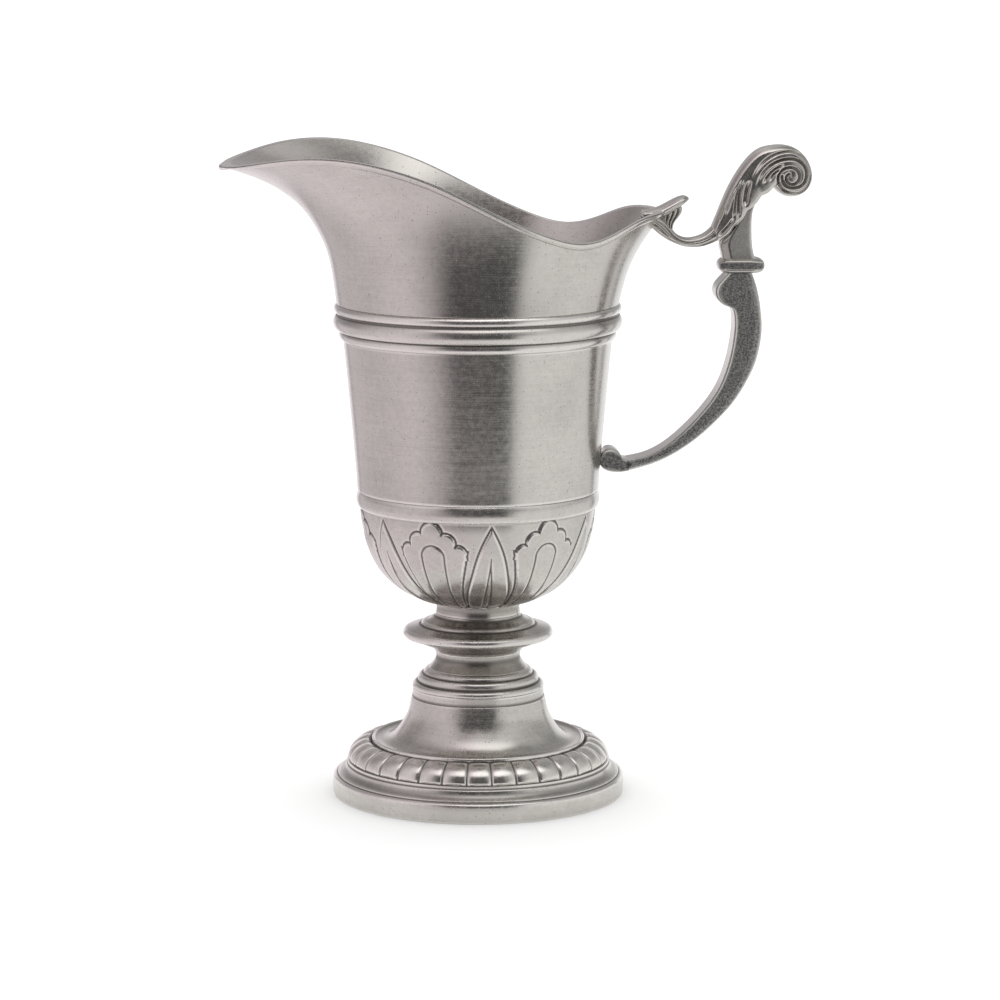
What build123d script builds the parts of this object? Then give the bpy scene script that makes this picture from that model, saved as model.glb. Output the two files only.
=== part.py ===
"""Helmet-shaped pewter water pitcher on a pedestal foot.

Millimetres, +Z up. The origin is the centre of the foot, on the table.
The pouring lip points to -X and the handle to +X. The XZ plane is the plane of symmetry.
Every piece is a separate casting or turning. Spigots and rebates locate the pieces for soldering.
"""
import os

from build123d import *

# Radii of the turned body
FOOT_R = 56.3
GADROON_R = 50.5
DISH_R = 41.3
BELL_TOP_R = 25.4
REEL_R = 16.2
KNOP_R = 29.0
BARREL_FOOT_R = 46.4
BARREL_TOP_R = 51.4
BAND_R = 46.8
BELLY_R = 55.2
NECK_R = 53.9

# Levels of the seams between the pieces
PLINTH_TOP_Z = 13.2
DISH_Z = 21.2
BELL_TOP_Z = 41.5
STEPS_TOP_Z = 49.0
KNOP_BOTTOM_Z = 56.0
KNOP_TOP_Z = 70.6
BOWL_BOTTOM_Z = 75.2
LEDGE_Z = 112.5
BAND_TOP_Z = 118.8
BARREL_TOP_Z = 177.0
BELLY_TOP_Z = 190.6
LIP_CREST_Z = 250.1

# Joints between castings
SPIGOT_R = 10.0
SPIGOT_H = 3.0
BORE_R = 7.0
WALL = 2.2
BOWL_BUTT_Z = 115.6
LOWER_REBATE_R = 44.6
BELLY_BUTT_Z = 183.8
BELLY_REBATE_R = 50.9

# Ornament and handle
GADROON_COUNT = 33
GROOVE_R = 0.55
RIM_DEPTH = 2.6
RIM_PROUD = 0.8
LEAF_HALF_W = 6.5
ARM_HALF_W = 4.5
SCROLL_HALF_W = 6.5
POST_HALF_W = 5.2
COLLAR_HALF_W = 7.5
STRAP_HALF_W = 6.5
TAIL_HALF_W = 5.5


# ---------------------------------------------------------------- foot
with BuildPart() as foot_plinth:
    with BuildSketch(Plane.XZ):
        with BuildLine():
            Line((FOOT_R, 0), (FOOT_R, 6.4))
            ThreePointArc((FOOT_R, 6.4), (55.9, 7.3), (55.0, 7.7))
            Polyline((55.0, 7.7), (54.5, 7.8), (54.5, 8.4))
            ThreePointArc((54.5, 8.4), (52.4, 9.5), (51.4, 11.6))
            Polyline((51.4, 11.6), (50.9, 11.9), (50.9, PLINTH_TOP_Z), (DISH_R, PLINTH_TOP_Z))
            Polyline((DISH_R, PLINTH_TOP_Z), (DISH_R, 11), (39.3, 11), (39.3, 8.8), (49.5, 8.8))
            ThreePointArc((49.5, 8.8), (52.2, 7.7), (53.2, 5.0))
            Polyline((53.2, 5.0), (53.2, 0), (FOOT_R, 0))
        make_face()
    revolve(axis=Axis.Z)

# The gadroons are a quarter-round ring cut by evenly spaced radial grooves.
with BuildPart() as gadroon_ring:
    with BuildSketch(Plane.XZ):
        with BuildLine():
            Line((DISH_R, PLINTH_TOP_Z), (GADROON_R, PLINTH_TOP_Z))
            Spline(
                (GADROON_R, PLINTH_TOP_Z), (49.4, 15.6), (46.2, 18.3), (DISH_R, DISH_Z),
                tangents=[(0, 1), (-4, 2)],
            )
            Line((DISH_R, DISH_Z), (DISH_R, PLINTH_TOP_Z))
        make_face()
    revolve(axis=Axis.Z)
    with PolarLocations(0, GADROON_COUNT):
        with Locations(Location((46.9, 0, 18.5), (0, 39, 0))):
            Cylinder(GROOVE_R, 16, rotation=(0, 90, 0), mode=Mode.SUBTRACT)

with BuildPart() as foot_bell:
    with BuildSketch(Plane.XZ):
        with BuildLine():
            Line((DISH_R, 11), (DISH_R, DISH_Z))
            ThreePointArc((DISH_R, DISH_Z), (40.8, 21.8), (40.1, 21.4))
            Spline(
                (40.1, 21.4), (36.5, 21.0), (32.5, 23.2), (29.0, 28.0), (26.9, 32.5), (25.7, 38.0),
                (BELL_TOP_R, BELL_TOP_Z),
                tangents=[(-1, -0.4), (0, 1)],
            )
            Polyline((BELL_TOP_R, BELL_TOP_Z), (21, BELL_TOP_Z), (21, 39.0), (23.2, 38.6))
            Spline(
                (23.2, 38.6), (24.5, 32.0), (26.9, 27.0), (31.0, 21.2), (39.3, 17.8),
                tangents=[(0, -1), (1, 0)],
            )
            Polyline((39.3, 17.8), (39.3, 11), (DISH_R, 11))
        make_face()
    revolve(axis=Axis.Z)

# ---------------------------------------------------------------- stem
with BuildPart() as stem_steps:
    with BuildSketch(Plane.XZ):
        with BuildLine():
            Polyline((SPIGOT_R, 39), (21, 39), (21, BELL_TOP_Z), (BELL_TOP_R, BELL_TOP_Z))
            ThreePointArc((BELL_TOP_R, BELL_TOP_Z), (25.4, 42.7), (24.6, 43.6))
            Polyline((24.6, 43.6), (23.4, 43.8), (23.4, 44.4))
            ThreePointArc((23.4, 44.4), (23.3, 45.6), (22.6, 46.6))
            Polyline((22.6, 46.6), (21.2, 46.9), (21.2, 47.3))
            ThreePointArc((21.2, 47.3), (20.5, 48.5), (19.3, STEPS_TOP_Z))
            Polyline((19.3, STEPS_TOP_Z), (SPIGOT_R, STEPS_TOP_Z), (SPIGOT_R, 39))
        make_face()
    revolve(axis=Axis.Z)

with BuildPart() as lower_reel:
    with BuildSketch(Plane.XZ):
        with BuildLine():
            Line((SPIGOT_R, STEPS_TOP_Z), (19.3, STEPS_TOP_Z))
            Spline(
                (19.3, STEPS_TOP_Z), (17.4, 51.2), (REEL_R, 53.4), (16.8, KNOP_BOTTOM_Z),
                tangents=[(-1, 0.8), (0.5, 1)],
            )
            Polyline(
                (16.8, KNOP_BOTTOM_Z), (SPIGOT_R, KNOP_BOTTOM_Z), (SPIGOT_R, KNOP_BOTTOM_Z + SPIGOT_H),
                (BORE_R, KNOP_BOTTOM_Z + SPIGOT_H), (BORE_R, STEPS_TOP_Z - SPIGOT_H),
                (SPIGOT_R, STEPS_TOP_Z - SPIGOT_H), (SPIGOT_R, STEPS_TOP_Z),
            )
        make_face()
    revolve(axis=Axis.Z)

with BuildPart() as knop:
    with BuildSketch(Plane.XZ):
        with BuildLine():
            Line((SPIGOT_R, KNOP_BOTTOM_Z), (16.8, KNOP_BOTTOM_Z))
            Spline((16.8, KNOP_BOTTOM_Z), (21.5, 58.9), (27.8, 61.2), tangents=[(0.5, 1), (1, 0.15)])
            ThreePointArc((27.8, 61.2), (KNOP_R, 62.8), (27.9, 64.7))
            Line((27.9, 64.7), (22.0, 66.2))
            ThreePointArc((22.0, 66.2), (21.5, 67.2), (20.5, 67.5))
            Spline((20.5, 67.5), (18.0, 68.7), (16.4, KNOP_TOP_Z), tangents=[(-1, 0.2), (-0.1, 1)])
            Polyline(
                (16.4, KNOP_TOP_Z), (SPIGOT_R, KNOP_TOP_Z), (SPIGOT_R, KNOP_TOP_Z - SPIGOT_H),
                (BORE_R, KNOP_TOP_Z - SPIGOT_H), (BORE_R, KNOP_BOTTOM_Z + SPIGOT_H),
                (SPIGOT_R, KNOP_BOTTOM_Z + SPIGOT_H), (SPIGOT_R, KNOP_BOTTOM_Z),
            )
        make_face()
    revolve(axis=Axis.Z)

with BuildPart() as upper_reel:
    with BuildSketch(Plane.XZ):
        with BuildLine():
            Line((SPIGOT_R, KNOP_TOP_Z), (16.4, KNOP_TOP_Z))
            Spline((16.4, KNOP_TOP_Z), (16.0, 72.6), (16.6, BOWL_BOTTOM_Z), tangents=[(-0.2, 1), (0.5, 1)])
            Polyline(
                (16.6, BOWL_BOTTOM_Z), (SPIGOT_R, BOWL_BOTTOM_Z), (SPIGOT_R, BOWL_BOTTOM_Z + SPIGOT_H),
                (BORE_R, BOWL_BOTTOM_Z + SPIGOT_H), (BORE_R, KNOP_TOP_Z - SPIGOT_H),
                (SPIGOT_R, KNOP_TOP_Z - SPIGOT_H), (SPIGOT_R, KNOP_TOP_Z),
            )
        make_face()
    revolve(axis=Axis.Z)

# ---------------------------------------------------------------- body
with BuildPart() as leaf_bowl:
    with BuildSketch(Plane.XZ):
        with BuildLine():
            Line((SPIGOT_R, BOWL_BOTTOM_Z), (16.6, BOWL_BOTTOM_Z))
            Spline(
                (16.6, BOWL_BOTTOM_Z), (24.7, 77.8), (30.8, 81.4), (36.6, 86.9), (40.6, 93.4),
                (43.2, 100.6), (44.6, 107.5), (45.2, LEDGE_Z),
                tangents=[(1, 0.15), (0.08, 1)],
            )
            Polyline((45.2, LEDGE_Z), (LOWER_REBATE_R, LEDGE_Z), (LOWER_REBATE_R, BOWL_BUTT_Z))
            Polyline((LOWER_REBATE_R, BOWL_BUTT_Z), (LOWER_REBATE_R - WALL, BOWL_BUTT_Z))
            Spline(
                (LOWER_REBATE_R - WALL, BOWL_BUTT_Z), (42.1, 108.2), (40.7, 101.2), (38.1, 94.4),
                (34.4, 88.6), (29.2, 83.9), (21.0, 81.0), (0, 80.4),
                tangents=[(0, -1), (-1, 0)],
            )
            Polyline((0, 80.4), (0, BOWL_BOTTOM_Z + SPIGOT_H), (SPIGOT_R, BOWL_BOTTOM_Z + SPIGOT_H))
            Line((SPIGOT_R, BOWL_BOTTOM_Z + SPIGOT_H), (SPIGOT_R, BOWL_BOTTOM_Z))
        make_face()
    revolve(axis=Axis.Z)

with BuildPart() as lower_band:
    with BuildSketch(Plane.XZ):
        with BuildLine():
            Polyline((46.1, BAND_TOP_Z), (LOWER_REBATE_R, BAND_TOP_Z), (LOWER_REBATE_R, LEDGE_Z))
            Polyline((LOWER_REBATE_R, LEDGE_Z), (45.7, LEDGE_Z), (46.2, 113.2))
            ThreePointArc((46.2, 113.2), (BAND_R, 115.6), (46.1, BAND_TOP_Z))
        make_face()
    revolve(axis=Axis.Z)

with BuildPart() as barrel:
    with BuildSketch(Plane.XZ):
        with BuildLine():
            Polyline(
                (LOWER_REBATE_R - WALL, BOWL_BUTT_Z), (LOWER_REBATE_R, BOWL_BUTT_Z),
                (LOWER_REBATE_R, BAND_TOP_Z), (BARREL_FOOT_R - 0.3, BAND_TOP_Z),
                (BARREL_FOOT_R, BAND_TOP_Z + 0.5),
            )
            Spline(
                (BARREL_FOOT_R, BAND_TOP_Z + 0.5), (47.1, 130), (49.1, 153), (BARREL_TOP_R, BARREL_TOP_Z),
                tangents=[(0.02, 1), (0.1, 1)],
            )
            Polyline(
                (BARREL_TOP_R, BARREL_TOP_Z), (BELLY_REBATE_R, BARREL_TOP_Z),
                (BELLY_REBATE_R, BELLY_BUTT_Z), (BELLY_REBATE_R - WALL, BELLY_BUTT_Z),
            )
            Spline(
                (BELLY_REBATE_R - WALL, BELLY_BUTT_Z), (46.8, 153), (44.7, 130),
                (LOWER_REBATE_R - WALL, BOWL_BUTT_Z),
                tangents=[(-0.1, -1), (-0.1, -1)],
            )
        make_face()
    revolve(axis=Axis.Z)

with BuildPart() as belly_band:
    with BuildSketch(Plane.XZ):
        with BuildLine():
            Line((BELLY_REBATE_R, BARREL_TOP_Z), (51.9, BARREL_TOP_Z))
            ThreePointArc((51.9, BARREL_TOP_Z), (53.0, 178.7), (52.4, 180.4))
            Line((52.4, 180.4), (53.6, 180.7))
            ThreePointArc((53.6, 180.7), (BELLY_R, 183.6), (54.0, 186.6))
            Line((54.0, 186.6), (53.9, 187.2))
            ThreePointArc((53.9, 187.2), (54.9, 188.8), (NECK_R, BELLY_TOP_Z))
            Polyline((NECK_R, BELLY_TOP_Z), (BELLY_REBATE_R, BELLY_TOP_Z), (BELLY_REBATE_R, BARREL_TOP_Z))
        make_face()
    revolve(axis=Axis.Z)


# ---------------------------------------------------------------- neck and mouth
# Level of each section of the neck, with its reach towards the lip and towards the handle.
NECK_SECTIONS = [
    (BELLY_TOP_Z, NECK_R, NECK_R),
    (201.0, 55.3, 56.6),
    (211.0, 57.5, 61.0),
    (221.0, 62.2, 67.6),
    (229.0, 68.3, 72.5),
    (235.5, 77.0, 76.0),
    (240.5, 88.0, 79.0),
    (246.0, 107.0, 82.0),
    (252.0, 131.0, 85.0),
]
# Height of the rim along the pitcher, from the tip of the lip to the handle, and the depth of
# its bead, which is small where the lip lies nearly flat.
RIM_CURVE = [
    (-100, 243.2, 0.7),
    (-90, 245.6, 0.8),
    (-78, 248.4, 1.0),
    (-64, LIP_CREST_Z, 1.4),
    (-50, 249.0, 1.8),
    (-35, 245.3, 2.2),
    (-20, 240.1, 2.5),
    (-5, 233.1, RIM_DEPTH),
    (10, 225.8, RIM_DEPTH),
    (25, 219.8, RIM_DEPTH),
    (38, 217.2, RIM_DEPTH),
    (50, 219.9, RIM_DEPTH),
    (60, 224.2, RIM_DEPTH),
    (74, 225.4, RIM_DEPTH),
]


def half_width(level):
    """Half of the neck's width across the pitcher: nearly straight at first, then flaring."""
    rise = (level - 192) / 52
    return NECK_R - 4 * rise + 15 * rise * rise


def mouth_section(level, front, back, grow):
    """Egg-shaped section of the neck: two half ellipses that meet at the widest points."""
    width = half_width(level) + grow
    with BuildSketch(Plane.XY.offset(level)) as section:
        with BuildLine():
            EllipticalCenterArc((0, 0), back + grow, width, start_angle=-90, arc_size=180)
            EllipticalCenterArc((0, 0), front + grow, width, start_angle=90, arc_size=180)
        make_face()
    return section.sketch


def flared_solid(grow, lift):
    """The flaring neck as a solid loft, grown sideways and lifted."""
    with BuildPart() as flare:
        for level, front, back in NECK_SECTIONS:
            add(mouth_section(level, front, back, grow).moved(Location((0, 0, lift))))
        loft()
    return flare.part


def below_rim(share):
    """Block under the rim curve, lowered by a share of the bead's depth, wider than the neck."""
    crest = [(x, z - share * depth) for x, z, depth in RIM_CURVE]
    with BuildPart() as block:
        with BuildSketch(Plane.XZ):
            with BuildLine():
                Spline(crest)
                Polyline(crest[-1], (crest[-1][0], BARREL_TOP_Z), (crest[0][0], BARREL_TOP_Z), crest[0])
            make_face()
        extrude(amount=80, both=True)
    return block.part


neck_outside = flared_solid(0, 0)
neck_inside = flared_solid(-WALL, 1.6)
rim_outside = flared_solid(RIM_PROUD, -0.4)
under_rim = below_rim(1)
under_crest = below_rim(0)

# The spigot under the neck stands in the belly band, and the throat opens out above it.
with BuildPart() as neck:
    add(neck_outside)
    with BuildSketch(Plane.XY.offset(BELLY_BUTT_Z)):
        Circle(BELLY_REBATE_R)
    extrude(amount=BELLY_TOP_Z - BELLY_BUTT_Z + 0.6)
    add(neck_inside, mode=Mode.SUBTRACT)
    with BuildSketch(Plane.XZ):
        with BuildLine():
            Polyline(
                (0, BELLY_BUTT_Z - 1), (BELLY_REBATE_R - WALL, BELLY_BUTT_Z - 1),
                (BELLY_REBATE_R - WALL, BELLY_TOP_Z), (NECK_R - WALL - 0.1, BELLY_TOP_Z + 2.8),
                (0, BELLY_TOP_Z + 2.8), (0, BELLY_BUTT_Z - 1),
            )
        make_face()
    revolve(axis=Axis.Z, mode=Mode.SUBTRACT)
    add(under_rim, mode=Mode.INTERSECT)

with BuildPart() as rim_bead:
    add(rim_outside)
    add(neck_inside, mode=Mode.SUBTRACT)
    add(under_crest, mode=Mode.INTERSECT)
    add(under_rim, mode=Mode.SUBTRACT)


# ---------------------------------------------------------------- handle
with BuildPart() as upper_arm:
    with BuildSketch(Plane.XZ):
        with BuildLine():
            Line((60, 224.5), (60, 221))
            Spline((60, 221), (66.2, 219.6), (71.6, 214.9), (81.2, 211.4), (91.8, 213.6))
            Line((91.8, 213.6), (89.6, 219.5))
            Spline((89.6, 219.5), (85.0, 216.1), (79.4, 215.0), (75.4, 216.9), (73.9, 220.4))
            Polyline((73.9, 220.4), (71.5, 222.6), (69.5, 224.5), (60, 224.5))
        make_face()
    extrude(amount=ARM_HALF_W, both=True)
    add(rim_outside, mode=Mode.SUBTRACT)
    add(neck_outside, mode=Mode.SUBTRACT)

with BuildPart() as thumb_leaf:
    with BuildSketch(Plane.XZ):
        with BuildLine():
            Polyline((64, 224.5), (69.5, 224.5), (71.5, 222.6), (73.9, 220.4))
            Spline((73.9, 220.4), (76.6, 223.0), (77.6, 226.2))
            Line((77.6, 226.2), (80.6, 229.4))
            ThreePointArc((80.6, 229.4), (80.4, 231.0), (78.6, 231.3))
            Spline((78.6, 231.3), (73.5, 229.2), (69.0, 226.9), (64, 226.4))
            Line((64, 226.4), (64, 224.5))
        make_face()
    extrude(amount=LEAF_HALF_W, both=True)
    add(rim_outside & under_crest, mode=Mode.SUBTRACT)
    add(neck_inside, mode=Mode.SUBTRACT)

with BuildPart() as acanthus_scroll:
    with BuildSketch(Plane.XZ):
        with BuildLine():
            Spline(
                (89.6, 219.5), (92.6, 227.5), (96.7, 236.7), (102.0, 244.6), (107.7, 249.2),
                (115.5, 250.5), (122.5, 248.3), (127.0, 242.2), (127.5, 236.8), (124.4, 232.3),
                (118.9, 230.8), (114.5, 232.6), (112.1, 234.5),
            )
            Spline((112.1, 234.5), (108.6, 232.4), (106.8, 230.1))
            Spline((106.8, 230.1), (103.5, 227.3), (97.5, 218.6), (91.8, 213.6))
            Line((91.8, 213.6), (89.6, 219.5))
        make_face()
    extrude(amount=SCROLL_HALF_W, both=True)
    with BuildSketch(Plane.XZ):
        with Locations((118.9, 238.5)):
            Circle(5.5)
    extrude(amount=SCROLL_HALF_W + 1.2, both=True)

with BuildPart() as handle_post:
    with BuildSketch(Plane.XZ):
        with BuildLine():
            Spline((106.8, 230.1), (103.5, 227.3), (97.5, 218.6), (91.8, 213.6))
            Spline((91.8, 213.6), (92.9, 211.5), (92.9, 207.4))
            Line((92.9, 207.4), (105.7, 207.4))
            Spline((105.7, 207.4), (104.7, 212.2), (104.4, 219.8), (104.9, 226.0), (106.8, 230.1))
        make_face()
    extrude(amount=POST_HALF_W, both=True)

with BuildPart() as handle_collar:
    with BuildSketch(Plane.XY.offset(201.8)):
        with Locations((100.7, 0)):
            RectangleRounded(18.0, 2 * COLLAR_HALF_W, 2.5)
    extrude(amount=5.6)
    fillet(handle_collar.edges().group_by(Axis.Z)[0], 1.6)
    fillet(handle_collar.edges().group_by(Axis.Z)[-1], 1.6)

with BuildPart() as lower_arm:
    with BuildSketch(Plane.XZ):
        with BuildLine():
            Spline(
                (95.0, 201.8), (92.3, 198.6), (90.6, 194.8), (92.4, 190.9), (96.6, 188.8),
                tangents=[(-0.6, -1), (1, -0.1)],
            )
            Spline(
                (96.6, 188.8), (97.9, 183.0), (95.8, 168.0), (88.5, 152.2), (77.9, 140.5),
                (68.3, 133.6), (57.9, 130.4),
                tangents=[(0.6, -1), (-1, 0)],
            )
            Line((57.9, 130.4), (57.9, 125.5))
            Spline(
                (57.9, 125.5), (68.3, 128.9), (83.8, 137.7), (97.2, 150.5), (105.4, 164.4),
                (108.9, 179.4), (107.9, 191.2), (104.9, 201.8),
                tangents=[(1, 0.15), (-0.35, 1)],
            )
            Line((104.9, 201.8), (95.0, 201.8))
        make_face()
    extrude(amount=STRAP_HALF_W, both=True)

with BuildPart() as tail_scroll:
    with BuildSketch(Plane.XZ):
        with BuildLine():
            Polyline((57.9, 125.5), (57.9, 130.4))
            Spline(
                (57.9, 130.4), (55.2, 131.0), (53.6, 133.4), (50.6, 134.7), (48.2, 133.6), (45.0, 130.5),
                tangents=[(-1, 0), (-0.6, -1)],
            )
            Line((45.0, 130.5), (45.0, 128.2))
            Spline((45.0, 128.2), (49.0, 125.9), (53.2, 125.0), (57.9, 125.5))
        make_face()
    extrude(amount=TAIL_HALF_W, both=True)
    with BuildSketch(Plane.XZ):
        with BuildLine():
            Polyline((0, 116), (BARREL_FOOT_R - 0.3, 116), (BARREL_FOOT_R, BAND_TOP_Z + 0.5))
            Spline(
                (BARREL_FOOT_R, BAND_TOP_Z + 0.5), (47.1, 130), (49.1, 153), (BARREL_TOP_R, BARREL_TOP_Z),
                tangents=[(0.02, 1), (0.1, 1)],
            )
            Polyline((BARREL_TOP_R, BARREL_TOP_Z), (0, BARREL_TOP_Z), (0, 116))
        make_face()
    revolve(axis=Axis.Z, mode=Mode.SUBTRACT)

PIECES = {
    "foot_plinth": foot_plinth,
    "gadroon_ring": gadroon_ring,
    "foot_bell": foot_bell,
    "stem_steps": stem_steps,
    "lower_reel": lower_reel,
    "knop": knop,
    "upper_reel": upper_reel,
    "leaf_bowl": leaf_bowl,
    "lower_band": lower_band,
    "barrel": barrel,
    "belly_band": belly_band,
    "neck": neck,
    "rim_bead": rim_bead,
    "thumb_leaf": thumb_leaf,
    "upper_arm": upper_arm,
    "acanthus_scroll": acanthus_scroll,
    "handle_post": handle_post,
    "handle_collar": handle_collar,
    "lower_arm": lower_arm,
    "tail_scroll": tail_scroll,
}

os.makedirs("parts", exist_ok=True)
for name, piece in PIECES.items():
    piece.part.label = name
    export_step(piece.part, f"parts/{name}.step")
    print(name, round(piece.part.volume), "mm3", len(piece.part.solids()), "solid")
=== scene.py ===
"""Looks of the pewter water pitcher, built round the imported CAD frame.

Blender works in metres. The shapes are worked out in millimetres and scaled on their way into a mesh.
+Z is up, the lip points to -X, the handle to +X, and the camera looks from -Y.
"""

import math

import bmesh
import bpy
import numpy as np
from mathutils import Matrix, Vector


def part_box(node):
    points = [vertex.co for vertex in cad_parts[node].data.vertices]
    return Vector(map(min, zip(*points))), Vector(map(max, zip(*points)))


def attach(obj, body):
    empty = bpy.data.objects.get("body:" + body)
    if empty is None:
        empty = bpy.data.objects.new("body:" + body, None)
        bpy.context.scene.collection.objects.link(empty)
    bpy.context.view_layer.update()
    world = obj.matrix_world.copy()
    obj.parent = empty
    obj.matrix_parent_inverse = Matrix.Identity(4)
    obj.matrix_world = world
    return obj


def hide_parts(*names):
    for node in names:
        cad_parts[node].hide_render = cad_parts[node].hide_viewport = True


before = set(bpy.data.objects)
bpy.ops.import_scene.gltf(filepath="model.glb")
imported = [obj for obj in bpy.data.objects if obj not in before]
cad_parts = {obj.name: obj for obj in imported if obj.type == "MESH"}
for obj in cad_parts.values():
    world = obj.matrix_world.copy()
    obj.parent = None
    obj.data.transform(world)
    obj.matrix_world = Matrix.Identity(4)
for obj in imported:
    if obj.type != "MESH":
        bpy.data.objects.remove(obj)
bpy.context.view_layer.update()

MM = 0.001
TURN = 2 * math.pi
HOLLOW_DEPTH = 0.1  # mm under the surroundings that counts as one
HOLLOW_LIMIT = 1.5
MERGE = 2e-6  # m, vertices closer than this are one


# ---------------- curves
def smooth_curve(knots, values):
    """Natural cubic spline through the values at the knots, as a function of the knot parameter."""
    knots = np.asarray(knots, float)
    values = np.asarray(values, float).reshape(len(knots), -1)
    gap = np.diff(knots)
    count = len(knots)
    system = np.eye(count)
    right = np.zeros_like(values)
    for i in range(1, count - 1):
        system[i, i - 1 : i + 2] = gap[i - 1], 2 * (gap[i - 1] + gap[i]), gap[i]
        right[i] = 6 * ((values[i + 1] - values[i]) / gap[i] - (values[i] - values[i - 1]) / gap[i - 1])
    bend = np.linalg.solve(system, right)

    def at(where):
        where = np.asarray(where, float)
        i = np.clip(np.searchsorted(knots, where) - 1, 0, count - 2)
        wide = gap[i][..., None]
        b = (where - knots[i])[..., None] / wide
        a = 1 - b
        curve = a * values[i] + b * values[i + 1]
        curve += ((a**3 - a) * bend[i] + (b**3 - b) * bend[i + 1]) * wide**2 / 6
        return curve[..., 0] if values.shape[1] == 1 else curve

    return at


def rail(*points):
    """Smooth curve through points that are met at evenly spaced values from 0 to 1."""
    return smooth_curve(np.linspace(0, 1, len(points)), points)


def step_up(low, high, value):
    """0 below low, 1 above high, smooth between."""
    share = np.clip((value - low) / (high - low), 0, 1)
    return share * share * (3 - 2 * share)


def squared(value, power):
    """Value raised to a power with its sign kept: squares off a circle's sine and cosine."""
    return np.sign(value) * np.abs(value) ** power


def ridge(distance, width):
    """1 at zero distance, falling to nothing over about twice the width."""
    return np.exp(-((distance / width) ** 2))


def spaced(points):
    """Distance run along a line of points."""
    return np.concatenate([[0], np.cumsum(np.linalg.norm(np.diff(points, axis=0), axis=1))])


def polar(radius, angle, level):
    """Places at a radius and level, round the axis."""
    places = radius * np.cos(angle), radius * np.sin(angle), level
    return np.stack(np.broadcast_arrays(*places), -1)


# ---------------- meshes
def grid_faces(rows, columns, wrap_rows=False, wrap_columns=False):
    """Quads of a grid of vertices laid out row by row."""
    row = np.arange(rows if wrap_rows else rows - 1)[:, None]
    column = np.arange(columns if wrap_columns else columns - 1)[None, :]
    next_row = (row + 1) % rows
    next_column = (column + 1) % columns
    corners = [
        row * columns + column,
        row * columns + next_column,
        next_row * columns + next_column,
        next_row * columns + column,
    ]
    return np.stack([np.broadcast_to(c, (row.size, column.size)) for c in corners], -1).reshape(-1, 4)


def hollow_mask(mesh, passes):
    """Store how deep each vertex lies under its smoothed surroundings, less than 0 on edges."""
    count = len(mesh.vertices)
    places, normals = np.empty((count, 3)), np.empty((count, 3))
    mesh.vertices.foreach_get("co", places.ravel())
    mesh.vertices.foreach_get("normal", normals.ravel())
    ends = np.empty(len(mesh.edges) * 2, int)
    mesh.edges.foreach_get("vertices", ends)
    first, second = ends.reshape(-1, 2).T
    neighbours = np.bincount(np.concatenate([first, second]), minlength=count)
    blurred = places.copy()
    for _ in range(passes):
        total = np.empty_like(blurred)
        for axis in range(3):
            near = np.concatenate([blurred[second, axis], blurred[first, axis]])
            total[:, axis] = np.bincount(np.concatenate([first, second]), near, minlength=count)
        blurred = 0.5 * blurred + 0.5 * total / np.maximum(neighbours, 1)[:, None]
    depth = ((blurred - places) * normals).sum(1) / (HOLLOW_DEPTH * MM)
    hollow = mesh.attributes.new("hollow", "FLOAT", "POINT")
    hollow.data.foreach_set("value", np.clip(depth, -HOLLOW_LIMIT, HOLLOW_LIMIT))


def add_piece(node, places, faces, material, panel=None, passes=10, hollow=None):
    """Make a piece from places in millimetres; it stands for a CAD node and rides on the body."""
    mesh = bpy.data.meshes.new(node + "_look")
    mesh.from_pydata((np.asarray(places) * MM).tolist(), [], [list(map(int, face)) for face in faces])
    mesh.attributes.new("panel", "FLOAT", "POINT")
    if panel is not None:
        mesh.attributes["panel"].data.foreach_set("value", np.asarray(panel, float).ravel())
    if hollow is not None:
        mesh.attributes.new("hollow", "FLOAT", "POINT")
        mesh.attributes["hollow"].data.foreach_set("value", np.asarray(hollow, float).ravel())
    shape = bmesh.new()
    shape.from_mesh(mesh)
    bmesh.ops.remove_doubles(shape, verts=shape.verts, dist=MERGE)
    bmesh.ops.recalc_face_normals(shape, faces=shape.faces)
    shape.to_mesh(mesh)
    shape.free()
    mesh.shade_smooth()
    if hollow is None:
        hollow_mask(mesh, passes)
    mesh.materials.append(MATERIALS[material])
    piece = bpy.data.objects.new(node + "_look", mesh)
    bpy.context.scene.collection.objects.link(piece)
    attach(piece, "root")
    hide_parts(node)


def add_grid(node, places, material, wrap_rows=True, **extras):
    """Piece made of a grid of places whose columns close into a ring."""
    faces = grid_faces(*places.shape[:2], wrap_rows=wrap_rows, wrap_columns=True)
    add_piece(node, places.reshape(-1, 3), faces, material, **extras)


# ---------------- turned pieces
def cad_outline(node):
    """(radius, level) outline of a turned CAD node in millimetres, cut from its mesh at y = 0, on +X."""
    shape = bmesh.new()
    shape.from_mesh(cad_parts[node].data)
    bmesh.ops.remove_doubles(shape, verts=shape.verts, dist=1e-6)
    for normal in ((0, 1, 0), (1, 0, 0)):
        everything = shape.verts[:] + shape.edges[:] + shape.faces[:]
        bmesh.ops.bisect_plane(shape, geom=everything, plane_co=(0, 0, 0), plane_no=normal, dist=1e-7)
    links = {}
    for edge in shape.edges:
        if all(abs(v.co.y) < 1e-6 and v.co.x > -1e-6 for v in edge.verts):
            a, b = edge.verts
            links.setdefault(a, []).append(b)
            links.setdefault(b, []).append(a)
    ends = [v for v, others in links.items() if len(others) == 1]
    here = ends[0] if ends else next(iter(links))
    chain, seen = [], set()
    while here is not None:
        seen.add(here)
        chain.append((here.co.x / MM, here.co.z / MM))
        here = next((v for v in links[here] if v not in seen), None)
    closed = not ends
    shape.free()
    return np.array(chain), closed


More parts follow.
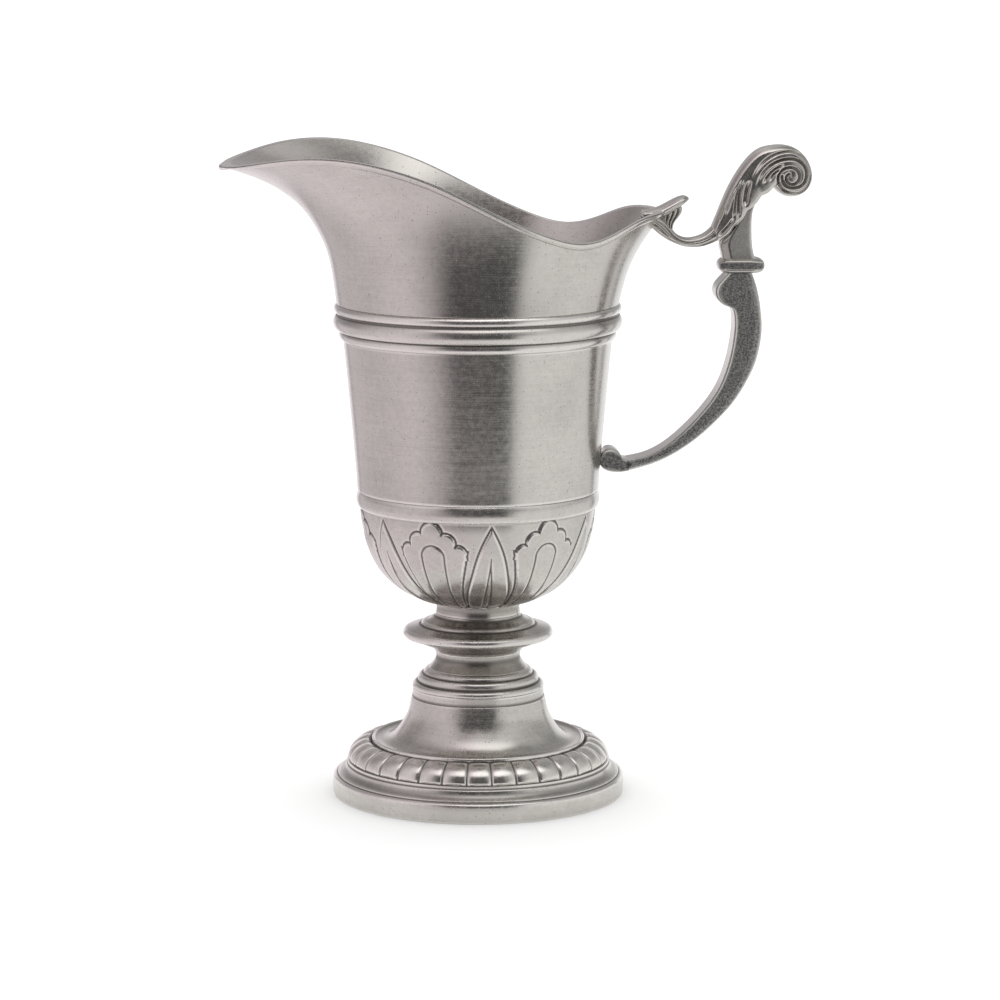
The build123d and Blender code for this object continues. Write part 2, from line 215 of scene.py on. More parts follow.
def outward(points, closed):
    """Unit normals of an outline, pointing out of the metal."""
    if closed:
        along = np.roll(points, -1, 0) - np.roll(points, 1, 0)
    else:
        along = np.gradient(points, axis=0)
    along /= np.maximum(np.linalg.norm(along, axis=1), 1e-9)[:, None]
    normals = np.stack([along[:, 1], -along[:, 0]], 1)
    x, y = points.T
    area = np.sum(x * np.roll(y, -1) - np.roll(x, -1) * y)
    return normals if area > 0 else -normals


FINE = 0.05  # mm between the points of a dense outline
SHORTEST = 0.02  # mm, shorter legs are dropped
SHARP = math.radians(14)  # a bend over this is a corner
SURROUND = 0.6  # mm, blur that stands for a point's surroundings


def soften(points, closed, corner=0.16, widest=None):
    """Smooth the runs between CAD points, round the corners and space the points by curvature.

    Also gives how deep each point lies under its surroundings, as hollow_mask does.
    """
    points = points[np.concatenate([[True], np.linalg.norm(np.diff(points, axis=0), axis=1) > SHORTEST])]
    if closed:
        if np.linalg.norm(points[0] - points[-1]) < SHORTEST:
            points = points[:-1]
        legs = np.roll(points, -1, 0) - points
        heading = np.arctan2(legs[:, 1], legs[:, 0])
        bend = np.abs((heading - np.roll(heading, 1) + math.pi) % TURN - math.pi)
        start = int(np.argmax(bend))
        points = np.roll(points, -start, 0)
        points = np.vstack([points, points[:1]])
    legs = np.diff(points, axis=0)
    heading = np.arctan2(legs[:, 1], legs[:, 0])
    bend = np.abs((np.diff(heading) + math.pi) % TURN - math.pi)
    breaks = [0] + [i + 1 for i in range(len(bend)) if bend[i] > SHARP] + [len(points) - 1]
    dense = []
    for begin, end in zip(breaks, breaks[1:]):
        span = points[begin : end + 1]
        run = spaced(span)
        where = np.linspace(0, run[-1], max(int(run[-1] / FINE), 2), endpoint=False)
        if len(span) > 2:
            dense.append(smooth_curve(run, span)(where))
        else:
            dense.append(span[0] + (span[1] - span[0]) * (where / run[-1])[:, None])
    dense = np.vstack(dense + [points[-1:]])
    if closed:
        dense = dense[:-1]

    def blur(size):
        reach = int(4 * size / FINE)
        weights = np.exp(-0.5 * (np.arange(-reach, reach + 1) * FINE / size) ** 2)
        weights /= weights.sum()
        padded = np.pad(dense, ((reach, reach), (0, 0)), mode="wrap" if closed else "edge")
        return np.stack([np.convolve(padded[:, k], weights, mode="valid") for k in range(2)], 1)

    rounded = blur(corner)
    if not closed:
        rounded[0], rounded[-1] = dense[0], dense[-1]
        rounded[:, 0] = np.maximum(rounded[:, 0], 0)
    depth = ((blur(SURROUND) - rounded) * outward(rounded, closed)).sum(1) / HOLLOW_DEPTH
    loop = np.vstack([rounded, rounded[:1]]) if closed else rounded
    depth = np.append(depth, depth[0]) if closed else depth
    run = spaced(loop)
    legs = np.diff(loop, axis=0)
    heading = np.unwrap(np.arctan2(legs[:, 1], legs[:, 0]))
    curvature = np.abs(np.gradient(heading)) / np.maximum(np.diff(run), 1e-6)
    curvature = np.convolve(curvature, np.ones(7) / 7, mode="same")
    limit = 1.3 if widest is None else widest(loop[:-1], outward(loop, False)[:-1])
    density = 1 / np.clip(0.22 / np.maximum(curvature, 1e-6), 0.11, limit)
    steps = np.concatenate([[0], np.cumsum(density * np.diff(run))])
    count = int(steps[-1])
    where = np.interp(np.linspace(0, steps[-1], count, endpoint=not closed), steps, run)
    points = np.stack([np.interp(where, run, loop[:, k]) for k in range(2)], 1)
    return points, np.interp(where, run, depth)


def wobble(level, angle, size=0.012):
    """Slight hand-finishing unevenness of a turned surface, in millimetres."""
    waves = np.sin(level * 0.11 + 2 * np.sin(2 * angle)) + np.sin(5 * angle + level * 0.07)
    return size * (waves + 0.4 * np.sin(9 * angle - level * 0.16 + 1))


def lathe(node, material, segments=240, relief=None, widest=None, corner=0.16, passes=10):
    """Turn a CAD node's own outline, softened, and raise the relief on it along its normals."""
    outline, closed = cad_outline(node)
    profile, depth = soften(outline, closed, corner, widest)
    normals = outward(profile, closed)
    angle = np.arange(segments)[None, :] * TURN / segments
    radius, level = profile[:, :1], profile[:, 1:]
    out_r, out_z = normals[:, :1], normals[:, 1:]
    lift = wobble(level, angle) * step_up(0.5, 8, radius)
    if level.min() < 0.5:
        lift = lift * step_up(0, 2, level)
    if relief is not None:
        lift = lift + relief(radius, level, out_r, out_z, angle)
    places = polar(radius + lift * out_r, angle, level + lift * out_z)
    hollow = None if relief else np.broadcast_to(depth[:, None], places.shape[:2])
    add_grid(node, places, material, wrap_rows=closed, passes=passes, hollow=hollow)


# ---------------- leaf bowl
LEAF_TURN = math.radians(3.5)
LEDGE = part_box("lower_band")[0][2] / MM
PALMETTE_WIDTH = smooth_curve([76, 82, 88, 94, 101.3], [11.6, 12.8, 14.2, 16.0, 17.9])
LANCET_WIDTH = smooth_curve([76, 82, 86, 92.4, 100, 106, 110.4], [15.2, 13.4, 11.8, 9.2, 6.2, 2.9, 0])
SLIT_WIDTH = smooth_curve([76, 82, 90, 99], [3.8, 3.0, 1.5, 0])


def leaf_relief(radius, level, out_r, out_z, angle):
    """Twelve leaves round the bowl: broad lobed palmettes and narrow split lancets, turn and turn about."""
    outer = step_up(0.2, 0.5, out_r - out_z) * step_up(16.8, 18.5, radius)
    outer = outer * step_up(LEDGE, LEDGE - 0.5, level)
    degree = math.pi / 180 * radius

    def across(centre):
        """Distance round the bowl from the nearest leaf centred at this angle, modulo 60 degrees."""
        pitch = TURN / 6
        return np.abs((angle - centre - LEAF_TURN + pitch / 2) % pitch - pitch / 2) * radius

    broad = across(0)
    narrow = across(TURN / 12)
    top_lobe = np.hypot(broad, np.maximum(level - 108.0, 0)) - 4.3
    shoulder = np.hypot(broad - 5.7, np.maximum(level - 104.6, 0)) - 3.6
    outer_lobe = np.hypot(broad - 10.4, np.maximum(level - 100.9, 0)) - 2.7
    body = np.maximum((broad - PALMETTE_WIDTH(level) * degree) * 0.95, level - 101.3)
    lobes = np.minimum(np.minimum(top_lobe, shoulder), outer_lobe)
    palmette = np.minimum(np.where(level > 98, lobes, 9), body)
    lancet = np.maximum((narrow - LANCET_WIDTH(level) * degree) * 0.93, level - 110.8)
    arch_top = 98.9
    arch_half = 6.1 * degree
    arch = np.where(level > arch_top, np.hypot(broad, level - arch_top) - 4.6, broad - arch_half)
    slit = np.maximum(narrow - SLIT_WIDTH(level) * degree, level - 99)

    raised = 0.0
    for leaf, height in ((palmette, 0.5), (lancet, 0.42)):
        raised = np.maximum(raised, height * step_up(0.25, -0.55, leaf))
    raised = raised + 0.12 * step_up(0, -4, palmette) + 0.12 * step_up(0, -3, lancet)
    for edge in (palmette, lancet):
        raised = raised - 0.36 * ridge(edge - 0.32, 0.42)
    raised = raised - 0.36 * ridge(arch, 0.42) + 0.14 * step_up(-0.2, -3.5, arch)
    raised = raised - 0.5 * step_up(0.35, -0.5, slit)
    raised = raised + 0.28 * ridge(narrow, 0.5) * step_up(-0.4, -1.0, slit)
    raised = raised - 0.22
    return raised * outer


def bowl_spacing(points, normals):
    """Fine rows on the carved outside of the bowl, wide ones inside it."""
    outside = (normals[:, 0] - normals[:, 1] > 0.3) & (points[:, 0] > 17) & (points[:, 1] < LEDGE)
    return np.where(outside, 0.4, 2.5)


# ---------------- gadroon ring
GADROONS = 33
GADROON_SWELL = 0.9
GADROON_ROWS = 64
GADROON_COLUMNS = 22


def gadroon_ring():
    """Ring of rounded lobes under the dish: each swells between two cut lines and is rounded at its ends."""
    (_, _, low), (outer, _, high) = [np.array(corner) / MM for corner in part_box("gadroon_ring")]
    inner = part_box("foot_bell")[1][0] / MM
    swing = np.radians(np.linspace(0, 86, 9))
    face = rail(*zip(inner + (outer - inner) * np.cos(swing), low + (high - low - 0.4) * np.sin(swing)))
    share = np.linspace(0, 1, GADROON_ROWS)
    across = face(share)
    count = GADROONS * GADROON_COLUMNS
    angle = np.arange(count)[None, :] * TURN / count
    pitch = TURN / GADROONS
    beside = np.abs((angle + pitch / 2) % pitch - pitch / 2) * across[:, :1]
    half = pitch / 2 * across[:, :1]
    normals = outward(across, False)
    if normals[GADROON_ROWS // 3, 0] < 0:
        normals = -normals
    v = share[:, None]
    swell = GADROON_SWELL * np.sqrt(np.clip(1 - (1 - beside / half) ** 2, 0, 1))
    ends = step_up(0.0, 0.10, v) * step_up(1.0, 0.86, v)
    cut = 0.35 * ridge(beside, 0.28) * step_up(0, 0.04, v) * step_up(1, 0.97, v)
    lift = (swell - 0.7) * ends - cut - 0.35 * (1 - ends)
    bottom = low + 0.05
    radius = np.vstack([across[:, :1] + lift * normals[:, :1], np.full((1, count), inner)])
    level = np.vstack([across[:, 1:] + lift * normals[:, 1:], np.full((1, count), bottom)])
    level = np.maximum(level, bottom)
    places = polar(radius, angle, level)
    # painted shade and patina: the cut lines between the lobes and the lobes' ends are darkened
    hollow = np.zeros(places.shape[:2])
    hollow[:-1] = 0.9 * (ridge(beside, 0.4) + step_up(0.06, 0, v) + step_up(0.93, 0.98, v))
    # the gadroon ring takes the brighter copy of the pewter: painted light
    add_grid("gadroon_ring", places, "brightened_pewter", hollow=hollow)


# ---------------- neck and rim
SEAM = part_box("belly_band")[1][2] / MM
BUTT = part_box("neck")[0][2] / MM
NECK_R = 53.9
SPIGOT_R = 50.9
WALL = 2.2
LIFT = 1.6
# Reach of the neck towards the lip and towards the handle, by level.
REACH = smooth_curve(
    [SEAM, 201, 211, 221, 229, 235.5, 240.5, 246, 252],
    [(53.9, 53.9), (55.3, 56.6), (57.5, 61.0), (62.2, 67.6), (68.3, 72.5),
     (77.0, 76.0), (88.0, 79.0), (107.0, 82.0), (131.0, 85.0)],
)
# Height of the rim and depth of its bead, along the pitcher.
CREST = smooth_curve(
    [-100, -90, -78, -64, -50, -35, -20, -5, 10, 25, 38, 50, 60, 74],
    [243.2, 245.6, 248.4, 250.0, 249.3, 246.1, 240.9, 233.8, 226.3, 220.0, 217.4, 220.6, 225.0, 225.6],
)
BEAD = smooth_curve([-100, -90, -80, -66, -50, -30, 0, 74], [1.5, 1.7, 2.0, 2.5, 2.7, 2.7, 2.7, 2.6])


def neck_point(angle, level, grow, lift):
    """Point of the neck's surface, grown sideways and lifted."""
    level_in = level - lift
    reach = REACH(level_in)
    rise = (level_in - 192) / 52
    width = NECK_R - 4 * rise + 15 * rise * rise + grow
    along = np.where(np.cos(angle) > 0, reach[..., 1], reach[..., 0]) + grow
    return along * np.cos(angle), width * np.sin(angle)


def rim_level(angle, share, grow, lift):
    """Level at which the neck's surface meets the rim curve, lowered by a share of the bead's depth."""
    low = np.full_like(angle, 208.0)
    high = np.full_like(angle, 254.0)
    for _ in range(40):
        middle = (low + high) / 2
        x, _ = neck_point(angle, middle, grow, lift)
        above = middle > CREST(np.maximum(x, -104)) - share * BEAD(np.clip(x, -100, 74))
        high = np.where(above, middle, high)
        low = np.where(above, low, middle)
    return (low + high) / 2


def neck_ring(angle, level, grow, lift):
    """One ring of places on the neck's surface."""
    x, y = neck_point(angle, level, grow, lift)
    return np.stack([x, y, level], -1)


def neck():
    """Flaring neck with its spigot: outside up to the bead, inside back down."""
    count, rows = 640, 84
    angle = np.arange(count) * TURN / count
    top = rim_level(angle, 1, 0, 0)
    inner_top = rim_level(angle, 0.15, -WALL, LIFT)
    throat = SEAM + 3.2
    places = [polar(SPIGOT_R, angle, BUTT), polar(SPIGOT_R, angle, SEAM)]
    for share in np.append(np.linspace(0, 0.99, rows), [0.998, 1]):
        level = SEAM + (top - SEAM) * share
        uneven = wobble(level, angle) * step_up(0, 0.04, share)
        places.append(neck_ring(angle, level, 0, 0) + polar(uneven, angle, 0))
    for share in np.append([1, 0.998], np.linspace(0.99, 0, 48)):
        level = throat + (inner_top - throat) * share
        places.append(neck_ring(angle, level, -WALL, LIFT))
    places.append(polar(SPIGOT_R - WALL, angle, SEAM))
    places.append(polar(SPIGOT_R - WALL, angle, BUTT))
    places = np.array(places)
    add_grid("neck", places, "satin_pewter", hollow=np.zeros(places.shape[:2]))


def rim_bead():
    """Bead on the rim: flush inside, proud of the neck outside, with a fine line near its outer top."""
    count, around = 720, 48
    angle = np.arange(count) * TURN / count
    proud = 0.9 - 2.1 * step_up(-0.93, -1.0, np.cos(angle))
    low_out = neck_ring(angle, rim_level(angle, 1.0, proud, -0.4), proud, -0.4)
    top_out = neck_ring(angle, rim_level(angle, 0, proud, -0.4), proud, -0.4)
    sunk = 0.25 - WALL
    low_in = neck_ring(angle, rim_level(angle, 1.0, sunk, LIFT), sunk, LIFT)
    top_in = neck_ring(angle, rim_level(angle, 0, sunk, LIFT), sunk, LIFT)
    blunt = 0.8 * step_up(-0.95, -1.0, np.cos(angle))[:, None]
    low_out = low_out * (1 - blunt) + (top_out - [0, 0, 2.2]) * blunt
    turn = np.arange(around) * TURN / around
    flush = (np.cos(turn) < 0) & (np.sin(turn) < 0)
    power = np.where(flush, 0.12, 0.62)
    line = 1 - 0.17 * ridge(turn - math.radians(48), math.radians(9))
    side = squared(np.cos(turn), power) * line
    rise = squared(np.sin(turn), power) * line
    out = ((side + 1) / 2)[:, None, None]
    up = ((rise + 1) / 2)[:, None, None]
    lower = low_in * (1 - out) + low_out * out
    upper = top_in * (1 - out) + top_out * out
    places = lower * (1 - up) + upper * up
    # colour mask of the bead: its fine line and the crease along its lower edge are darkened with patina and
    # painted shade; its top gets a painted highlight and its outer face a painted reflection, through the
    # light edge colour
    degrees = np.degrees(turn)
    hollow = ridge(degrees - 48, 10) * 0.9 + ridge(degrees - 285, 14) * 0.25
    hollow = hollow - step_up(60, 75, degrees) * step_up(165, 140, degrees) - 0.5 * step_up(34, 20, degrees)
    hollow = np.broadcast_to(hollow[:, None], places.shape[:2])
    add_grid("rim_bead", places, "satin_pewter", hollow=hollow)


# ---------------- handle
def section_weights(controls, count, passes):
    """Blend weights that spread a section's control points over evenly spaced, rounded points."""
    run = spaced(np.array(controls, float))
    where = np.linspace(0, run[-1], count)
    weights = np.stack([np.interp(where, run, row) for row in np.eye(len(controls))], 1)
    for _ in range(passes):
        weights[1:-1] = (weights[:-2] + 2 * weights[1:-1] + weights[2:]) / 4
    return weights


def two_sided(places, panel):
    """Faces and mirrored places of a grid on a piece's -Y side: welds them at y = 0 and closes the rest."""
    rows, columns = places.shape[:2]
    near = places.reshape(-1, 3)
    far = near * (1, -1, 1)
    faces = grid_faces(rows, columns)
    points = np.vstack([near, far])
    total = len(near)
    keys = {}
    index = np.empty(len(points), int)
    for i, point in enumerate(np.round(points, 4)):
        index[i] = keys.setdefault(tuple(point + 0.0), i)
    faces = np.vstack([faces, faces[:, ::-1] + total])
    faces = [list(dict.fromkeys(index[f])) for f in faces]
    faces = [f for f in faces if len(f) > 2]
    edges = {}
    for face in faces:
        for a, b in zip(face, face[1:] + face[:1]):
            edges.setdefault((min(a, b), max(a, b)), []).append((a, b))
    mirror = {index[i]: index[i + total] for i in range(total)}
    for uses in edges.values():
        a, b = uses[0]
        open_edge = len(uses) == 1 and a in mirror and b in mirror
        if open_edge and max(points[a][1], points[b][1]) < 0.001:
            wall = list(dict.fromkeys([b, a, mirror[a], mirror[b]]))
            if len(wall) > 2:
                faces.append(wall)
    used = np.unique(np.concatenate([np.array(f) for f in faces]))
    back = np.full(len(points), -1)
    back[used] = np.arange(len(used))
    both = np.concatenate([panel.ravel(), panel.ravel()])
    return points[used], [[int(back[v]) for v in f] for f in faces], both[used]


def strap(inner, outer, count, section, panel_of=None):
    """Places of a strap between two rails; section(s) gives shares from inner to outer and half widths."""
    s = np.linspace(0, 1, count)
    start, end = inner(s), outer(s)
    thick = np.linalg.norm(end - start, axis=1)
    share, width = section(s[:, None], thick[:, None])
    flat = start[:, None, :] * (1 - share[..., None]) + end[:, None, :] * share[..., None]
    places = np.stack([flat[..., 0], -width, flat[..., 1]], -1)
    panel = np.zeros(share.shape) if panel_of is None else panel_of(share)
    return places, panel


def rounded_section(count, power):
    """Shares from one rail to the other, and side bulge from 0 to 1, round a rounded cross section."""
    around = math.pi * np.linspace(0, 1, count)[None, :]
    return 0.5 - 0.5 * np.cos(around), np.abs(np.sin(around)) ** power


def barred_section(half, rim, border, depth, crown):
    """Flat inner face, crisp raised rim, sunk side panel, then an outer side that rounds over."""
    weights = section_weights(
        [(0, 0), (0, half - 0.5), (0.15, half - 0.1), (0.5, half), (border, half),
         (border + 0.5, half - depth), (5.5, half - depth), (8, half - depth - 0.3), (9.3, half - 1.6),
         (9.9, half - 3.4), (10, 0)],
        90, 2)

    def section(s, thick):
        wide = half + 0 * s
        cuts = [0 * thick, 0 * thick, 0.15 / thick, 0.5 / thick, border / thick, (border + 0.5) / thick,
                0.55 + 0 * thick, 1 - rim / thick, 1 - 0.45 * rim / thick, 1 - 0.08 * rim / thick,
                1 + 0 * thick]
        halves = [0 * wide, wide - 0.5, wide - 0.1, wide, wide, wide - depth,
                  wide - depth, wide - depth * 0.9, wide - crown * 0.35, wide - crown, 0 * wide]
        return np.hstack(cuts) @ weights.T, np.hstack(halves) @ weights.T

    return section


def grain(places, panel, size):
    """Coarse sand grain of a cast face, raised along Y where the panel is."""
    x, _, z = np.moveaxis(places, -1, 0)
    noise = np.sin(x * 5.1 + 2.3 * np.sin(z * 3.7)) * np.sin(z * 4.7 + 2.1 * np.sin(x * 4.3))
    noise = noise + 0.6 * np.sin(x * 9.7 + z * 4.1) * np.sin(z * 11.3 - x * 3.9)
    places[..., 1] -= size * noise * panel * np.sign(-places[..., 1])
    return places


def side_panel(low, high):
    """Panel value of a strap's side between two shares of its thickness."""

    def panel(share):
        return step_up(low - 0.05, low + 0.05, share) * step_up(high + 0.12, high - 0.08, share)

    return panel


def cast_strap(node, rails, rows, section, sides, rounding, size, tint=1.0):
    """Strap with sandy sides: sand from share to share, fading in over half widths, with size and tint."""
    places, panel = strap(*rails, rows, section, side_panel(*sides))
    panel = panel * step_up(*rounding, np.abs(places[..., 1]))
    places = grain(places, panel, size)
    points, faces, both = two_sided(places, tint * panel)
    add_piece(node, points, faces, "sand_cast_pewter", panel=both, passes=4)


def lower_arm():
    """Strap from the collar to the barrel: a lobe under the collar, then a long, thinning curve."""
    inner = rail((95.4, 201.9), (92.6, 199.0), (90.9, 196.6), (90.6, 193.8), (91.9, 191.3), (94.3, 189.5),
                 (96.6, 188.6), (97.7, 186.2), (98.0, 181.5), (97.3, 175.0), (95.9, 168.0), (93.2, 160.0),
                 (89.2, 153.0), (83.8, 146.4), (77.9, 140.5), (71.2, 135.2), (64.2, 131.8), (57.6, 130.4))
    outer = rail((104.9, 201.9), (106.1, 198.6), (106.8, 196.4), (107.4, 194.0), (107.9, 191.6),
                 (108.3, 189.2), (108.6, 186.4), (108.9, 183.4), (108.9, 178.4), (108.0, 172.4),
                 (106.2, 166.0), (102.9, 159.2), (98.3, 152.0), (92.3, 145.3), (85.0, 138.6),
                 (76.4, 132.6), (67.4, 128.3), (57.6, 125.5))
    section = barred_section(6.45, 3.2, 0.55, 0.32, 2.6)
    cast_strap("lower_arm", (inner, outer), 330, section, (0.12, 0.9), (4.5, 5.6), 0.05)


def tail_scroll():
    """Small upturned curl where the handle meets the barrel."""
    inner = rail((58.0, 130.4), (56.6, 130.5), (55.3, 131.1), (54.4, 132.6), (53.0, 134.0), (51.0, 134.7),
                 (49.0, 134.3), (47.9, 133.0), (46.9, 131.2))
    outer = rail((58.0, 125.5), (56.3, 125.2), (54.8, 125.0), (53.4, 125.0), (51.8, 125.1), (50.2, 125.4),
                 (48.8, 126.0), (47.6, 126.9), (46.7, 128.2))
    section = barred_section(5.45, 1.6, 0.6, 0.45, 2.2)
    cast_strap("tail_scroll", (inner, outer), 90, section, (0.16, 0.86), (3.6, 4.6), 0.04)


POST_SAND = 0.32


def handle_post():
    """Upright block between the collar and the leaf, with a bevel down its inner edge."""
    inner = rail((93.4, 207.3), (93.0, 209.6), (92.5, 212.0), (93.4, 214.2), (96.2, 217.6), (99.3, 221.6),
                 (102.3, 225.6), (104.6, 228.2))
    outer = rail((105.9, 207.3), (105.1, 209.8), (104.6, 213.4), (104.4, 217.4), (104.4, 221.0),
                 (104.7, 224.8), (105.7, 228.0), (107.2, 230.4))

    def section(s, thick):
        wide = 5.15 + 0 * s
        bevel = 2.6 * step_up(0.75, 0.35, s) + 0.6
        cuts = [0 * thick, 0 * thick, bevel / thick, (bevel + 0.2) / thick, 0.5 + 0 * thick, 1 - 1.3 / thick,
                1 - 0.3 / thick, 1 + 0 * thick, 1 + 0 * thick]
        halves = [0 * wide, wide - 1.7, wide - 0.05, wide - 0.12, wide - 0.12, wide - 0.12,
                  wide - 0.4, wide - 1.2, 0 * wide]
        return np.hstack(cuts) @ weights.T, np.hstack(halves) @ weights.T

    weights = section_weights(
        [(0, 0), (0, 3.4), (2.6, 5.1), (2.8, 5.0), (6, 5.0), (10.7, 5.0), (11.7, 4.7), (12, 3.9), (12, 0)],
        70, 2)
    cast_strap("handle_post", (inner, outer), 110, section, (0.3, 0.92), (4.6, 4.9), 0.05, POST_SAND)


def handle_collar():
    """Rounded collar whose broad sides carry a sunk horizontal panel between two bright lips."""
    low, high = [np.array(corner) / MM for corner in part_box("handle_collar")]
    centre = (low + high) / 2
    half = (high - low) / 2
    height = high[2] - low[2]
    profile = [(0, -3.0), (0, -1.9), (0.04, -1.0), (0.12, -0.35), (0.2, 0), (0.27, 0), (0.34, -0.6),
               (0.42, -0.95), (0.62, -0.95), (0.69, -0.6), (0.75, 0), (0.83, -0.1), (0.92, -0.7),
               (0.98, -1.4), (1, -2.2), (1, -3.0)]
    shares = rail(*profile)(np.linspace(0, 1, 74))
    shares[:, 0] = np.clip(shares[:, 0], 0, 1)
    rise, inset = shares[:, :1], np.minimum(shares[:, 1:], 0)
    around_end = -0.5 * height * (1 - np.sqrt(np.clip(1 - (2 * rise - 1) ** 2, 0, 1)))
    count = 240
    turn = np.arange(count) * TURN / count
    squareness = 0.5
    x = squared(np.cos(turn), squareness)
    y = squared(np.sin(turn), squareness)
    broad = step_up(0.97, 0.86, np.abs(x))
    lip = np.where((rise > 0.27) & (rise < 0.75), 0, inset)
    sunk = inset - lip
    places = np.stack(
        [centre[0] + x * (half[0] + around_end + 0 * y), centre[1] + y * (half[1] + lip + sunk * broad),
         np.broadcast_to(low[2] + height * rise, (len(rise), count))], -1)
    cap = [np.array([centre[0], 0, level]) + 0 * places[:1] for level in (low[2], high[2])]
    places = np.concatenate([cap[0], places, cap[1]])
    panel = np.zeros(places.shape[:2])
    panel[1:-1] = step_up(0.3, 0.8, -sunk) * broad
    add_grid("handle_collar", places, "sand_cast_pewter", wrap_rows=False, panel=panel, passes=5)


def upper_arm():
    """Curved arm from the rim to the leaf, with grooves that fan out where it leaves the rim."""
    top = rail((62.5, 225.0), (66.5, 225.1), (70.2, 224.2), (73.0, 221.0), (75.0, 217.6), (78.0, 215.6),
               (81.4, 215.2), (85.2, 216.2), (88.0, 218.0), (90.2, 220.3))
    under = rail((62.0, 220.8), (65.4, 219.6), (68.4, 217.2), (71.4, 215.0), (74.4, 213.4), (77.8, 212.1),
                 (81.4, 211.5), (85.6, 211.8), (89.2, 212.9), (92.0, 214.2))
    share, bulge = rounded_section(64, 0.55)

    def section(s, _thick):
        body = 4.45 * bulge * (1 + 0.12 * step_up(0.35, 0, s))
        fan = step_up(0.5, 0.1, s)
        cuts = 0.85 * ridge(share - 0.46, 0.09)
        for at in (0.2, 0.72):
            cuts = cuts + 0.75 * fan * ridge(share - at, 0.07)
        lower = 0.5 * step_up(0.46, 0.6, share) * step_up(1, 0.85, share)
        return share + 0 * s, np.maximum(body - cuts * (body > 2.2) - lower, 0)

    points, faces, _ = two_sided(*strap(top, under, 190, section))
    add_piece("upper_arm", points, faces, "patinated_pewter", passes=6)


def thumb_leaf():
    """Thumb rest on the rim: a smooth tongue over a small fluted leaf."""
    top = rail((63.0, 225.6), (66.5, 226.2), (69.5, 227.2), (72.8, 228.9), (76.0, 230.5), (78.6, 231.2),
               (80.3, 230.7))
    under = rail((63.0, 223.2), (67.0, 223.0), (70.6, 223.2), (73.6, 224.6), (76.6, 226.6), (79.0, 228.4),
                 (80.7, 229.9))
    share, tongue_bulge = rounded_section(46, 0.6)
    fluted_bulge = rounded_section(46, 0.5)[1]

    def tongue(s, _thick):
        plan = 6.3 * np.sqrt(np.clip(1 - np.clip((s - 0.45) / 0.56, 0, 1) ** 2.6, 0.02, 1))
        body = plan * tongue_bulge
        return share + 0 * s, body - 0.35 * ridge(share - 0.62, 0.1) * (plan > 3)

    outer = rail((77.9, 226.9), (77.9, 225.4), (77.0, 223.6), (75.7, 222.0), (74.8, 220.4), (74.4, 218.6))
    inner = rail((71.0, 226.4), (70.6, 224.8), (70.4, 223.2), (70.4, 221.4), (70.9, 219.8), (72.0, 218.2))

    def fluted(s, _thick):
        body = (5.2 - 1.4 * s) * fluted_bulge
        cuts = sum(0.8 * ridge(share - at, 0.07) for at in (0.25, 0.5, 0.75))
        return share + 0 * s, np.maximum(body - cuts * (body > 2.4), 0)

    points, faces, _ = two_sided(*strap(top, under, 110, tongue))
    more_points, more_faces, _ = two_sided(*strap(inner, outer, 110, fluted))
    faces += [[corner + len(points) for corner in face] for face in more_faces]
    add_piece("thumb_leaf", np.vstack([points, more_points]), faces, "patinated_pewter", passes=5)


EYE = np.array([118.9, 238.3])
# Grooves of the leaf: points of each, then its depth and width. The first two wind into the roll.
FLUTES = (
    (((103.2, 234.0), (103.9, 236.8), (105.2, 240.1), (107.4, 243.1), (110.3, 245.7), (114.2, 247.6),
      (118.6, 248.2), (122.4, 247.2), (125.1, 244.9), (126.4, 242.0), (126.6, 239.0), (125.9, 236.0),
      (124.3, 233.6), (121.8, 232.3), (118.9, 232.4), (116.2, 233.4), (114.6, 235.4), (114.0, 238.0),
      (114.9, 240.4), (116.9, 241.8), (119.5, 242.0), (121.6, 240.7), (122.3, 238.3), (121.3, 236.4),
      (119.5, 235.6), (117.7, 236.4), (117.1, 238.3), (118.2, 239.5)), 1.3, 0.5),
    (((105.5, 234.1), (106.5, 237.1), (108.3, 240.1), (110.9, 242.8), (114.5, 244.7), (118.6, 245.4),
      (121.8, 244.6), (124.1, 242.6), (124.9, 240.1), (124.5, 237.1), (122.7, 235.0), (120.1, 234.3),
      (117.4, 234.9), (115.9, 236.8), (115.5, 238.8)), 1.3, 0.5),
    (((108.3, 235.6), (109.7, 238.3), (111.8, 240.7), (114.5, 242.5), (117.4, 243.5)), 1.2, 0.5),
    (((110.6, 236.5), (112.0, 239.2), (113.9, 240.8), (115.7, 241.4)), 1.1, 0.5),
    (((101.3, 226.8), (101.6, 229.8), (102.0, 232.6), (102.7, 235.4), (103.9, 238.2)), 1.6, 0.8),
    (((99.1, 222.7), (99.0, 226.6), (99.1, 231.1), (100.0, 234.6), (101.6, 238.0)), 1.3, 0.55),
    (((96.9, 222.1), (97.6, 226.6), (98.2, 230.8), (99.4, 235.0), (100.6, 238.0)), 0.9, 0.45),
    (((94.0, 223.6), (95.4, 228.1), (97.1, 232.0), (99.4, 236.6)), 0.6, 0.5),
    (((90.9, 215.8), (93.5, 218.2), (95.9, 220.9), (97.3, 223.4)), 1.2, 0.55),
    (((91.3, 222.0), (92.3, 224.6), (93.6, 227.6)), 0.6, 0.6),
)


